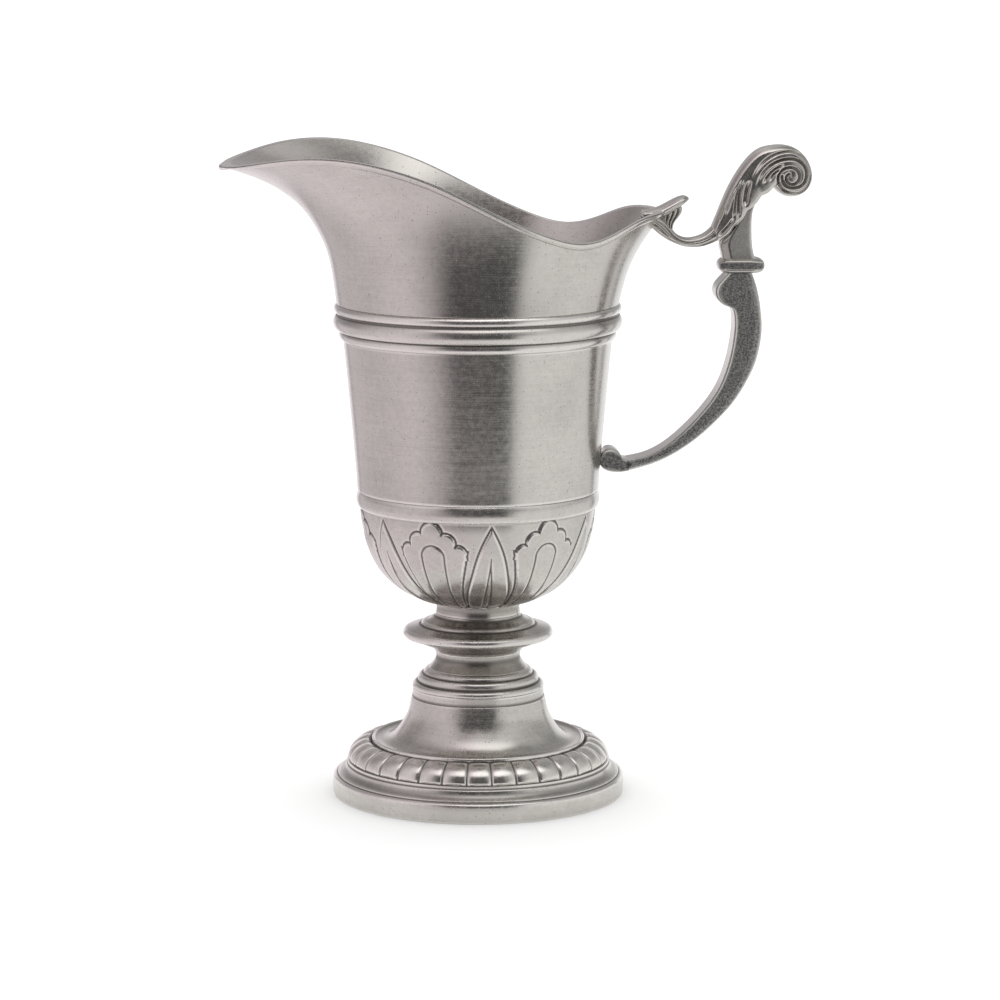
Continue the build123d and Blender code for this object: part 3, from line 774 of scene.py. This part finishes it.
def acanthus_scroll():
    """Acanthus leaf that climbs over the post and rolls up into a volute; its flutes wind into the roll."""
    spine = rail((89.4, 219.4), (91.2, 223.8), (93.2, 228.8), (95.6, 234.2), (98.6, 239.6), (102.2, 244.6),
                 (106.6, 248.6), (111.6, 250.2), (117.0, 250.4), (121.8, 248.7), (125.6, 245.0),
                 (127.5, 240.0), (127.0, 235.4), (124.2, 232.0), (120.0, 230.7), (116.0, 231.5),
                 (112.2, 234.5))
    edge = rail((91.9, 213.8), (95.0, 217.0), (98.2, 220.6), (101.2, 224.2), (104.2, 227.6), (107.4, 230.8),
                (110.4, 233.2), (113.4, 235.4), tuple(EYE - (1.2, 0.8)), tuple(EYE))
    rows, columns = 420, 120
    s = np.linspace(0, 1, rows)[:, None]
    t = np.linspace(0, 1, columns)[None, :]
    rolled = 0.56
    back = spine(s[:, 0])
    front_at = np.minimum(s[:, 0] / rolled, 1)
    front = edge(front_at)
    stem = step_up(1, 0.72, front_at)
    scallop = 0.75 * np.abs(np.sin(front_at * math.pi * 5.2)) * stem * step_up(0, 0.15, front_at)
    away = front - back
    front = front + away / np.linalg.norm(away, axis=1)[:, None] * scallop[:, None]
    flat = back[:, None, :] * (1 - t[..., None]) + front[:, None, :] * t[..., None]

    span = np.linalg.norm(front - back, axis=1)[:, None]
    inward = t * span
    plain = 0.27 + 0.09 * step_up(0.5, 0, s)
    half = 6.4
    round_back = np.sqrt(np.clip(1 - (1 - np.clip(inward / 2.6, 0, 1)) ** 2, 0, 1))
    width = half * (0.25 + 0.75 * round_back) * (round_back > 0) * step_up(-0.05, 0.12, inward / 1.2)
    cuts = 0
    steps = 99
    for number, (points, depth, wide) in enumerate(FLUTES):
        line = rail(*points)(np.linspace(0, 1, steps + 1))
        nearest = np.full(flat.shape[:2], 99.0)
        passed = np.zeros(flat.shape[:2])
        for step, (begin, leg) in enumerate(zip(line, np.diff(line, axis=0))):
            share = np.clip((flat - begin) @ leg / (leg @ leg), 0, 1)
            far = np.linalg.norm(flat - begin - share[..., None] * leg, axis=-1)
            passed = np.where(far < nearest, step + share, passed)
            nearest = np.minimum(nearest, far)
        taper = step_up(0, 25, passed)
        if number > 1:
            taper = taper * step_up(100, 62, passed)
        cuts = np.maximum(cuts, depth * taper * ridge(nearest, wide))
    bulge = 0.6 * np.sin(math.pi * np.clip((t - plain) / (1 - plain), 0, 1)) * step_up(0.75, 0.5, s)
    boss = 0.4 * step_up(0.45, 1, t) * step_up(0.5, 0.7, s)
    tuck = step_up(1.0, 0.9, t) * step_up(0.6, 0.45, s) + step_up(0.45, 0.6, s)
    width = width - cuts * step_up(1.0, 2.4, width) + bulge * round_back + boss
    lip = np.minimum(width, 4.2 + 3.2 * step_up(0.45, 0.6, s))
    width = np.where(t > 0.999, lip, width * (0.9 + 0.1 * tuck))
    width[:, 0] = 0
    places = np.stack([flat[..., 0], -np.maximum(width, 0), flat[..., 1]], -1)
    points, faces, _ = two_sided(places, np.zeros(width.shape))
    add_piece("acanthus_scroll", points, faces, "patinated_pewter", passes=5)


# ---------------- materials
class Graph:
    """Short way to write a shader tree."""

    def __init__(self, tree):
        self.tree = tree
        tree.nodes.clear()

    def node(self, kind, inputs=(), **settings):
        """New node with its settings; inputs are numbers, colours or other nodes' outputs."""
        node = self.tree.nodes.new(kind)
        for name, value in settings.items():
            setattr(node, name, value)
        for key, value in dict(inputs).items():
            if isinstance(value, bpy.types.NodeSocket):
                self.tree.links.new(value, node.inputs[key])
            else:
                node.inputs[key].default_value = value
        return node

    def math(self, operation, *values, clamp=False):
        """Output of a math node."""
        node = self.node("ShaderNodeMath", dict(enumerate(values)), operation=operation, use_clamp=clamp)
        return node.outputs[0]

    def ramp(self, value, low, high, start=0.0, end=1.0):
        """Value mapped from low..high to start..end, clamped and smooth."""
        inputs = {0: value, 1: low, 2: high, 3: start, 4: end}
        return self.node("ShaderNodeMapRange", inputs, interpolation_type="SMOOTHSTEP").outputs[0]

    def noise(self, vector, scale, detail=2.0, rough=0.5):
        """Noise value round a half."""
        inputs = {"Vector": vector, "Scale": scale, "Detail": detail, "Roughness": rough}
        return self.node("ShaderNodeTexNoise", inputs).outputs[0]

    def mix(self, share, first, second, blend="MIX"):
        """Output of a colour mix."""
        inputs = {0: share, 6: first, 7: second}
        node = self.node("ShaderNodeMix", inputs, data_type="RGBA", blend_type=blend, clamp_factor=True)
        return node.outputs[2]


# light colour of proud edges: polish and painted highlight
POLISH_AND_HIGHLIGHT = (0.85, 0.83, 0.80, 1)
SAND_DARK = (0.13, 0.13, 0.13, 1)
SAND_LIGHT = (0.37, 0.365, 0.35, 1)
PIT = (0.07, 0.065, 0.06, 1)
# dark colour of the hollows: patina and painted shade in recesses
PATINA_AND_SHADE = (0.10, 0.093, 0.085, 1)


def pewter(name, tone, patina_and_shade, streaks, pits, sand, brushed):
    """Satin pewter: turning lines round the axis, small pits, hollows darkened by patina and painted shade,
    edges lightened by polish and a painted highlight, and cast grain.
    """
    material = bpy.data.materials.new(name)
    material.use_nodes = True
    g = Graph(material.node_tree)
    place = g.node("ShaderNodeTexCoord").outputs["Object"]
    x, y, z = g.node("ShaderNodeSeparateXYZ", {0: place}).outputs
    radius = g.math("SQRT", g.math("ADD", g.math("MULTIPLY", x, x), g.math("MULTIPLY", y, y)))
    along = g.math("MULTIPLY", g.math("ADD", z, radius), 2400)
    stretched = {0: g.math("MULTIPLY", x, 55), 1: g.math("MULTIPLY", y, 55), 2: along}
    turned = g.node("ShaderNodeCombineXYZ", stretched).outputs[0]
    lines = g.noise(turned, 1.0, 4.0, 0.65)
    cloud = g.noise(place, 38, 3.0)
    mottle = g.noise(place, 520, 4.0, 0.6)
    speck = g.node("ShaderNodeTexVoronoi", {"Vector": place, "Scale": 760.0})
    chance = g.node("ShaderNodeSeparateColor", {0: speck.outputs["Color"]}).outputs[0]
    small = g.math("MULTIPLY", g.ramp(speck.outputs["Distance"], 0.24, 0.1), g.ramp(chance, 0.62, 0.72))
    hole = g.node("ShaderNodeTexVoronoi", {"Vector": place, "Scale": 210.0})
    rare = g.node("ShaderNodeSeparateColor", {0: hole.outputs["Color"]}).outputs[1]
    large = g.math("MULTIPLY", g.ramp(hole.outputs["Distance"], 0.1, 0.05), g.ramp(rare, 0.80, 0.84))
    pitted = g.math("MULTIPLY", g.math("MAXIMUM", small, large), pits)
    hollow = g.node("ShaderNodeAttribute", attribute_name="hollow").outputs["Fac"]
    panel = g.node("ShaderNodeAttribute", attribute_name="panel").outputs["Fac"]
    # hollows darkened: patina and painted shade
    dark = g.math("MULTIPLY", g.ramp(hollow, 0.12, 0.8), patina_and_shade)
    # proud edges lightened: polish and painted highlight
    bright = g.ramp(hollow, -0.1, -0.9)
    sandy = g.math("MULTIPLY", panel, sand)
    grit = g.noise(place, 1500, 3.0, 0.6)

    shade = g.math("ADD", g.ramp(lines, 0.3, 0.7, -streaks, streaks), g.ramp(cloud, 0.3, 0.7, 0.94, 1.05))
    shade = g.math("ADD", shade, g.ramp(mottle, 0.3, 0.7, -0.05, 0.05))
    grey = g.node("ShaderNodeCombineColor", {0: shade, 1: shade, 2: shade}).outputs[0]
    colour = g.mix(1.0, tone, grey, "MULTIPLY")
    # painted highlight and polish on proud edges
    colour = g.mix(g.math("MULTIPLY", bright, 0.5), colour, POLISH_AND_HIGHLIGHT)
    sand_tone = g.mix(g.ramp(grit, 0.35, 0.68), SAND_DARK, SAND_LIGHT)
    colour = g.mix(sandy, colour, sand_tone)
    colour = g.mix(g.math("MULTIPLY", pitted, 0.45), colour, PIT)
    # patina and painted shade laid into the hollows
    colour = g.mix(dark, colour, PATINA_AND_SHADE)

    rough = g.math("ADD", g.ramp(lines, 0.25, 0.75, 0.19, 0.27), g.ramp(mottle, 0.3, 0.7, -0.02, 0.04))
    rough = g.math("ADD", rough, g.math("MULTIPLY", g.math("ADD", dark, pitted), 0.25))
    rough = g.math("ADD", rough, g.ramp(sandy, 0.0, 0.4, 0.0, 0.34), clamp=True)

    height = g.math("MULTIPLY", lines, 0.35)
    height = g.math("ADD", height, g.math("MULTIPLY", mottle, 0.22))
    height = g.math("SUBTRACT", height, g.math("MULTIPLY", pitted, 0.9))
    height = g.math("ADD", height, g.math("MULTIPLY", g.math("MULTIPLY", grit, sandy), 3.0))
    bump = g.node("ShaderNodeBump", {"Height": height, "Strength": 0.35, "Distance": 0.00006})
    tangent = g.node("ShaderNodeTangent", direction_type="RADIAL", axis="Z")
    inputs = {"Base Color": colour, "Metallic": 1.0, "Roughness": rough, "Normal": bump.outputs[0],
              "Anisotropic": brushed, "Anisotropic Rotation": 0.25, "Tangent": tangent.outputs[0]}
    metal = g.node("ShaderNodeBsdfPrincipled", inputs)
    g.node("ShaderNodeOutputMaterial", {0: metal.outputs[0]})
    return material


MATERIALS = {
    "satin_pewter": pewter("satin_pewter", (0.535, 0.513, 0.482, 1), 0.75, 0.05, 0.8, 0.0, 0.6),
    # hollows darker than on satin pewter: patina and painted shade
    "patinated_pewter": pewter("patinated_pewter", (0.53, 0.508, 0.477, 1), 0.85, 0.03, 0.7, 0.0, 0.2),
    # brighter copy of the pewter: painted light on the gadroon lobes
    "brightened_pewter": pewter("brightened_pewter", (0.66, 0.635, 0.60, 1), 0.85, 0.03, 0.4, 0.0, 0.0),
    # darker copy of the pewter: painted shade on the stem pieces under the bowl
    "darkened_pewter": pewter("darkened_pewter", (0.42, 0.40, 0.37, 1), 0.85, 0.05, 0.8, 0.0, 0.5),
    "sand_cast_pewter": pewter("sand_cast_pewter", (0.52, 0.503, 0.475, 1), 0.7, 0.03, 0.5, 1.0, 0.0),
}


# ---------------- build the pitcher
for turned_node in ("foot_plinth", "foot_bell", "lower_band", "barrel", "belly_band"):
    lathe(turned_node, "satin_pewter")
# the stem pieces under the bowl take the darker copy of the pewter: painted shade
for turned_node in ("stem_steps", "lower_reel", "knop", "upper_reel"):
    lathe(turned_node, "darkened_pewter")
lathe("leaf_bowl", "patinated_pewter", 600, leaf_relief, bowl_spacing, corner=0.12, passes=5)
gadroon_ring()
neck()
rim_bead()
lower_arm()
tail_scroll()
handle_post()
handle_collar()
upper_arm()
thumb_leaf()
acanthus_scroll()


# ---------------- floor, light and camera
YAW = math.radians(-3.5)
CAMERA_HEADING = math.radians(-93.2)


def stage_material(name, colour, strength=None):
    """Material of the set: diffuse in one colour, or glowing and coloured by the attribute of that name."""
    material = bpy.data.materials.new(name)
    material.use_nodes = True
    g = Graph(material.node_tree)
    if strength is None:
        shader = g.node("ShaderNodeBsdfDiffuse", {"Color": colour})
    else:
        tone = g.node("ShaderNodeAttribute", attribute_name=colour).outputs["Color"]
        shader = g.node("ShaderNodeEmission", {"Color": tone, "Strength": strength})
    g.node("ShaderNodeOutputMaterial", {0: shader.outputs[0]})
    return material


def stage_mesh(name, places, faces, material):
    """Mesh that belongs to the set and not to the pitcher."""
    mesh = bpy.data.meshes.new(name)
    mesh.from_pydata(np.asarray(places, float).tolist(), [], np.asarray(faces).tolist())
    mesh.materials.append(material)
    thing = bpy.data.objects.new(name, mesh)
    bpy.context.scene.collection.objects.link(thing)
    return thing


# Brightness of the studio against heading, in degrees from the camera's side, one row for each height on
# the tent: at eye level, above it, and overhead, where a softbox hangs in front.
EYE_LEVEL = ((-180, 1.1), (-154, 1.1), (-151, 0.5), (-146, 0.5), (-143, 0.78), (-100, 0.78), (-70, 0.88),
             (-56, 0.9), (-47, 0.78), (-36, 0.6), (-28, 0.4), (-22, 0.2), (-17, 0.1), (21, 0.08),
             (27, 0.14), (33, 0.8), (40, 1.0), (110, 1.0), (118, 0.9), (132, 0.9), (134, 0.4), (139, 0.4),
             (142, 1.1), (180, 1.1))
ABOVE = ((-180, 0.42), (-150, 0.42), (-130, 0.32), (-106, 0.5), (-90, 0.68), (-74, 0.76), (-58, 0.85),
         (-46, 0.8), (-37, 0.62), (-29, 0.16), (-20, 0.1), (22, 0.1), (30, 0.3), (44, 0.65), (60, 0.8),
         (95, 0.62), (130, 0.38), (180, 0.42))
OVERHEAD = ((-180, 0.8), (-150, 0.65), (-135, 0.42), (-120, 0.38), (-93, 0.58), (-58, 0.95), (-31, 1.5),
            (0, 1.8), (45, 1.6), (66, 1.4), (80, 0.7), (92, 0.34), (145, 0.34), (158, 0.6), (180, 0.8))
ZENITH = 0.85
# Rise in degrees, and distance out on the table in metres, over which one row fades into the next.
FADE_ABOVE = (6, 24)
FADE_OVERHEAD = (47, 55)
FADE_ZENITH = (74, 84)
FADE_TABLE = (0.24, 0.42)
DOME_RADIUS = 0.8


def reflected(name, places, faces, heading, tone):
    """Glowing set piece that only reflections see: a little pink on the left, neutral on the right."""
    pink = step_up(0.6, -0.6, np.sin(np.radians(heading)))[..., None]
    colour = tone[..., None] * (1 - pink * np.array([0, 0.07, 0.03]))
    colour = np.concatenate([colour, np.ones(tone.shape + (1,))], -1)
    card = stage_mesh(name, places.reshape(-1, 3), faces, stage_material(name, "tone", 1.0))
    card.data.attributes.new("tone", "FLOAT_COLOR", "POINT").data.foreach_set("color", colour.ravel())
    for ray in ("camera", "diffuse", "shadow", "transmission", "volume_scatter"):
        setattr(card, "visible_" + ray, False)


def studio():
    """White tent with a gap for the camera and a softbox above it, over a table, as reflections see them."""
    columns, rows, table_rows = 361, 46, 24
    heading = np.linspace(-180, 180, columns)[None, :] + np.zeros((rows, 1))
    rise = np.linspace(0, 90, rows)[:, None] + 0 * heading
    bearing = CAMERA_HEADING + np.radians(heading)
    level = np.radians(rise)
    wall, above, over = [np.interp(heading, *zip(*row)) for row in (EYE_LEVEL, ABOVE, OVERHEAD)]
    tone = wall + (above - wall) * step_up(*FADE_ABOVE, rise)
    tone = tone + (over - tone) * step_up(*FADE_OVERHEAD, rise)
    tone = tone + (ZENITH - tone) * step_up(*FADE_ZENITH, rise)
    places = polar(DOME_RADIUS * np.cos(level), bearing, DOME_RADIUS * np.sin(level))
    reflected("studio_tent", places, grid_faces(rows, columns), heading, tone)

    heading, bearing, wall = [grid[:table_rows] for grid in (heading, bearing, wall)]
    out = np.linspace(0.1, DOME_RADIUS, table_rows)[:, None] + 0 * heading
    tone = 1 + (wall - 1) * step_up(*FADE_TABLE, out)
    above_floor = 0.0004
    places = polar(out, bearing, above_floor)
    reflected("studio_table", places, grid_faces(table_rows, columns), heading, tone)


def set_world():
    """White light all round, stronger from behind the pitcher."""
    world = bpy.data.worlds.new("studio")
    bpy.context.scene.world = world
    world.use_nodes = True
    g = Graph(world.node_tree)
    direction = g.node("ShaderNodeTexCoord").outputs["Generated"]
    away = g.node("ShaderNodeSeparateXYZ", {0: direction}).outputs[1]
    level, slope = 1.24, 0.5
    strength = g.math("ADD", g.math("MULTIPLY", away, slope), level)
    white = g.node("ShaderNodeBackground", {0: (1, 1, 1, 1), 1: strength})
    g.node("ShaderNodeOutputWorld", {0: white.outputs[0]})


def set_camera():
    """Long lens a little above the pitcher's middle."""
    target = Vector((8.5, 0, 114.3)) * MM
    elevation = math.radians(9.3)
    distance = 1.46
    place = target + distance * Vector((0, -math.cos(elevation), math.sin(elevation)))
    turn = Matrix.Rotation(YAW, 3, "Z")
    data = bpy.data.cameras.new("camera")
    data.sensor_width = 36
    data.lens = 136.5
    camera = bpy.data.objects.new("camera", data)
    camera.location = turn @ place
    camera.rotation_euler = (turn @ (target - place)).to_track_quat("-Z", "Y").to_euler()
    bpy.context.scene.collection.objects.link(camera)
    bpy.context.scene.camera = camera


set_camera()
set_world()
FLOOR = 20.0
stage_mesh(
    "floor",
    [(-FLOOR, -FLOOR, 0), (FLOOR, -FLOOR, 0), (FLOOR, FLOOR, 0), (-FLOOR, FLOOR, 0)],
    [(0, 1, 2, 3)],
    stage_material("floor", (0.97, 0.97, 0.97, 1)),
)
studio()
bpy.context.scene.view_settings.view_transform = "Standard"
